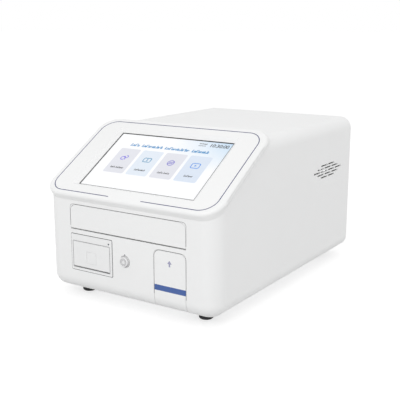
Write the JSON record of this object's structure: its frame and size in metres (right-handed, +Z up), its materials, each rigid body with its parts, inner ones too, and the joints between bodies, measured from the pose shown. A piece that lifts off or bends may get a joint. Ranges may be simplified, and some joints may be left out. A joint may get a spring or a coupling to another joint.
{
  "type": "microplate reader",
  "caption": "Bench-top microplate reader with a sloped touch screen, a plate flap over a belt-driven carrier, a ticket printer, a push button and a hinged lamp cover.",
  "frame": {"origin": "on the bench, under the middle of the reader", "axes": "+Z up, +X to the right as seen from the front, -Y towards the user"},
  "size_m": [0.3294, 0.4802, 0.2736],
  "materials": {
    "housing_white": "fine-textured moulded white",
    "hood_white": "fine-textured moulded white",
    "line_blue": "satin pale blue",
    "zinc_steel": "zinc-plated sheet",
    "foot_rubber": "matt black",
    "screw_steel": "zinc-plated",
    "gasket_black": "matt black",
    "screen_glass": "clear",
    "display_face": "lit display",
    "carrier_grey": "fine-textured dark grey",
    "spring_steel": "bright",
    "runner_plastic": "smooth acetal",
    "rail_steel": "ground steel",
    "belt_rubber": "ribbed black",
    "pulley_aluminium": "machined",
    "motor_black": "satin black",
    "deck_aluminium": "milled plate",
    "optics_black": "anodised matt black",
    "lens_glass": "polished",
    "printer_white": "smooth moulded white",
    "printer_dark": "smooth dark grey",
    "paper_white": "smooth thermal paper",
    "button_white": "satin white",
    "light_dark": "dark lens",
    "cover_white": "fine-textured moulded white",
    "band_blue": "satin blue",
    "board_green": "solder mask",
    "fan_black": "moulded black",
    "guard_steel": "plated wire",
    "socket_black": "moulded black"
  },
  "bodies": {
    "root": {"housing_shell": "housing_white", "screen_hood": "hood_white", "hood_line": "line_blue", "base_plate": "zinc_steel", "rear_panel": "zinc_steel", "feet": "foot_rubber", "case_screws": "screw_steel", "screen_gasket": "gasket_black", "touch_glass": "screen_glass", "display_module": "display_face", "display_bracket": "zinc_steel", "hinge_pins": "screw_steel", "carrier_rails": "rail_steel", "transport_tray": "zinc_steel", "tray_legs": "zinc_steel", "drive_belt": "belt_rubber", "idler_bracket": "zinc_steel", "carrier_motor": "motor_black", "motor_bracket": "zinc_steel", "optics_deck": "deck_aluminium", "deck_posts": "deck_aluminium", "guide_rods": "rail_steel", "rod_brackets": "deck_aluminium", "scan_motor": "motor_black", "monochromator": "optics_black", "detector": "optics_black", "printer_bezel": "printer_white", "printer_bucket": "printer_dark", "print_head": "printer_dark", "paper_spindle": "printer_dark", "button_ring": "button_white", "button_switch": "socket_black", "indicator_lights": "light_dark", "lamp_bay": "zinc_steel", "lamp_cartridge": "deck_aluminium", "main_board": "board_green", "power_supply": "zinc_steel", "fan_frame": "fan_black", "fan_guard": "guard_steel", "mains_inlet": "socket_black", "data_ports": "socket_black"},
    "carrier": {"plate_carrier": "carrier_grey", "plate_clip": "spring_steel", "carrier_runners": "runner_plastic", "belt_clamp": "runner_plastic"},
    "flap": {"plate_flap": "housing_white"},
    "motor_pulley": {"motor_pulley": "pulley_aluminium", "motor_shaft": "rail_steel"},
    "idler_pulley": {"idler_pulley": "pulley_aluminium"},
    "read_head": {"read_head": "optics_black", "read_lens": "lens_glass"},
    "lead_screw": {"lead_screw": "rail_steel"},
    "printer_lid": {"printer_lid": "printer_white"},
    "platen_roller": {"platen_roller": "foot_rubber"},
    "paper_roll": {"paper_roll": "paper_white"},
    "power_button": {"button_cap": "button_white"},
    "lamp_cover": {"lamp_cover": "cover_white", "cover_band": "band_blue"},
    "fan_rotor": {"fan_rotor": "fan_black"},
    "power_rocker": {"rocker_switch": "socket_black"}
  },
  "joints": [
    {"name": "carrier_slide", "type": "slide", "parent": "root", "child": "carrier", "axis": [0, -1, 0], "range_m": [0, 0.208]},
    {"name": "flap_hinge", "type": "hinge", "parent": "root", "child": "flap", "pos_m": [0, -0.23227, 0.1194], "axis": [1, 0, 0], "range_deg": [0, 100]},
    {"name": "motor_pulley_spin", "type": "hinge", "parent": "root", "child": "motor_pulley", "pos_m": [0.038, 0.08613, 0.117], "axis": [1, 0, 0], "range_deg": [0, 994]},
    {"name": "idler_pulley_spin", "type": "hinge", "parent": "root", "child": "idler_pulley", "pos_m": [0.038, -0.20887, 0.117], "axis": [1, 0, 0], "range_deg": [0, 994]},
    {"name": "read_head_slide", "type": "slide", "parent": "root", "child": "read_head", "axis": [1, 0, 0], "range_m": [-0.045, 0.045]},
    {"name": "lead_screw_spin", "type": "hinge", "parent": "root", "child": "lead_screw", "pos_m": [0, -0.04387, 0.176], "axis": [1, 0, 0], "range_deg": [-1621, 1621]},
    {"name": "printer_lid_hinge", "type": "hinge", "parent": "root", "child": "printer_lid", "pos_m": [-0.06915, -0.23287, 0.0574], "axis": [1, 0, 0], "range_deg": [0, 80]},
    {"name": "platen_roller_spin", "type": "hinge", "parent": "printer_lid", "child": "platen_roller", "pos_m": [-0.06915, -0.22487, 0.0904], "axis": [1, 0, 0], "continuous": true},
    {"name": "paper_roll_spin", "type": "hinge", "parent": "root", "child": "paper_roll", "pos_m": [-0.06915, -0.19787, 0.0744], "axis": [1, 0, 0], "continuous": true},
    {"name": "power_button_push", "type": "slide", "parent": "root", "child": "power_button", "axis": [0, 1, 0], "range_m": [0, 0.002], "stiffness_N_per_m": 400},
    {"name": "lamp_cover_hinge", "type": "hinge", "parent": "root", "child": "lamp_cover", "pos_m": [0.0818, -0.21087, 0.0166], "axis": [1, 0, 0], "range_deg": [0, 65]},
    {"name": "fan_spin", "type": "hinge", "parent": "root", "child": "fan_rotor", "pos_m": [0.092, 0.20753, 0.15], "axis": [0, 1, 0], "continuous": true},
    {"name": "power_rocker_tilt", "type": "hinge", "parent": "root", "child": "power_rocker", "pos_m": [-0.078, 0.23413, 0.062], "axis": [1, 0, 0], "range_deg": [-14, 0]}
  ],
  "couplings": [
    {"joint": "flap_hinge", "follows": "carrier_slide", "rad_per_m": 8.39},
    {"joint": "motor_pulley_spin", "follows": "carrier_slide", "rad_per_m": 83.333},
    {"joint": "idler_pulley_spin", "follows": "carrier_slide", "rad_per_m": 83.333},
    {"joint": "lead_screw_spin", "follows": "read_head_slide", "rad_per_m": 628.32}
  ]
}
